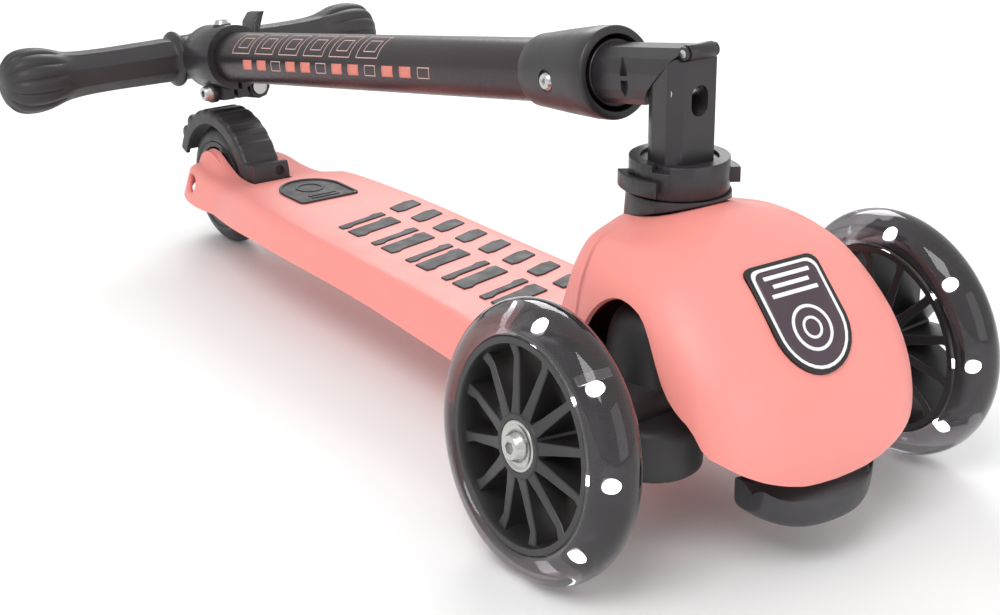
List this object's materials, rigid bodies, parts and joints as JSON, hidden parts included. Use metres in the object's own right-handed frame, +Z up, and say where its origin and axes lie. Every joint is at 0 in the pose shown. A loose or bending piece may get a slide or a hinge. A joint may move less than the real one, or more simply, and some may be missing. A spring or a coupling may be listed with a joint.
{
  "type": "kick scooter",
  "caption": "Small child's lean-to-steer kick scooter: low moulded deck, wide-set lit front wheels, small rear wheel with a step-on brake, and a telescopic T-bar folded over the deck.",
  "frame": {"origin": "on the floor, under the middle of the overall box of the folded scooter", "axes": "+Z up, -Y the rolling direction, +X the rider's left; +Y is the long axis"},
  "size_m": [0.258, 0.5976, 0.2066],
  "materials": {
    "coral": "fine satin moulded",
    "black": "satin moulded",
    "rubber": "matte",
    "white": "satin",
    "zinc": "zinc plated",
    "tube": "dark anodised",
    "clear_tyre": "clear cast",
    "lights": "glowing",
    "rear_tyre": "satin"
  },
  "bodies": {
    "chassis": {"deck": "coral", "brake_pin": "zinc", "rear_axle": "zinc", "rear_spacers": "black", "grip_pads": "rubber", "deck_badge": "rubber", "nose_shell": "coral", "nose_badge": "rubber", "nose_badge_rim": "white", "front_bumper": "rubber", "head_block": "black", "steer_pin": "zinc", "stem_collar": "black", "lower_knuckle": "black", "latch_pin": "zinc", "hinge_pin": "zinc"},
    "lock_ring": {"lock_ring": "black"},
    "truck": {"truck_body": "black", "front_axle_bolt_left": "zinc", "front_axle_bolt_right": "zinc"},
    "front_wheel_left": {"front_core_left": "black", "front_tyre_left": "clear_tyre", "front_lights_left": "lights", "front_bearings_left": "zinc"},
    "front_wheel_right": {"front_core_right": "black", "front_tyre_right": "clear_tyre", "front_lights_right": "lights", "front_bearings_right": "zinc"},
    "rear_wheel": {"rear_core": "black", "rear_tyre": "rear_tyre", "rear_bearings": "zinc"},
    "brake": {"brake_fender": "black"},
    "t_bar": {"upper_knuckle": "black", "outer_tube": "tube", "clamp_collar": "black", "clamp_washer": "black", "clamp_bolt": "zinc", "clamp_screw": "zinc"},
    "sleeve": {"sleeve": "black", "sleeve_bolt": "zinc"},
    "clamp_lever": {"clamp_lever": "black"},
    "handlebar": {"inner_tube": "tube", "handlebar_tee": "black", "handlebar_tube": "tube", "grip_left": "rubber", "grip_right": "rubber"}
  },
  "joints": [
    {"name": "lean_steer", "type": "hinge", "parent": "chassis", "child": "truck", "pos_m": [0, -0.22025, 0.072], "axis": [0, -0.6428, 0.766], "range_deg": [-8, 8], "stiffness_Nm_per_rad": 12},
    {"name": "wheel_spin_left", "type": "hinge", "parent": "truck", "child": "front_wheel_left", "pos_m": [0.1034, -0.22625, 0.05985], "axis": [0.9968, 0, 0.0802], "continuous": true},
    {"name": "wheel_spin_right", "type": "hinge", "parent": "truck", "child": "front_wheel_right", "pos_m": [-0.1034, -0.22625, 0.05985], "axis": [0.9968, 0, -0.0802], "continuous": true},
    {"name": "rear_wheel_spin", "type": "hinge", "parent": "chassis", "child": "rear_wheel", "pos_m": [0, 0.23975, 0.038], "axis": [1, 0, 0], "continuous": true},
    {"name": "brake_press", "type": "hinge", "parent": "chassis", "child": "brake", "pos_m": [0, 0.19025, 0.045], "axis": [-1, 0, 0], "range_deg": [0, 2.5], "stiffness_Nm_per_rad": 6, "springref_deg": -1.15},
    {"name": "fold", "type": "hinge", "parent": "chassis", "child": "t_bar", "pos_m": [0, -0.20015, 0.203], "axis": [1, 0, 0], "range_deg": [0, 99.53]},
    {"name": "sleeve_slide", "type": "slide", "parent": "t_bar", "child": "sleeve", "axis": [0, -0.9862, 0.1656], "range_m": [0, 0.078]},
    {"name": "bar_height", "type": "slide", "parent": "t_bar", "child": "handlebar", "axis": [0, 0.9862, -0.1656], "range_m": [0, 0.1]},
    {"name": "clamp_lever_swing", "type": "hinge", "parent": "t_bar", "child": "clamp_lever", "pos_m": [0.017, 0.2375, 0.09799], "axis": [0, 0.9862, -0.1656], "range_deg": [0, 80]},
    {"name": "lock_ring_turn", "type": "hinge", "parent": "chassis", "child": "lock_ring", "pos_m": [0, -0.18965, 0.148], "axis": [0, 0, 1], "range_deg": [0, 30]}
  ],
  "couplings": [
    {"joint": "sleeve_slide", "follows": "fold", "m_per_rad": 0.044897}
  ]
}
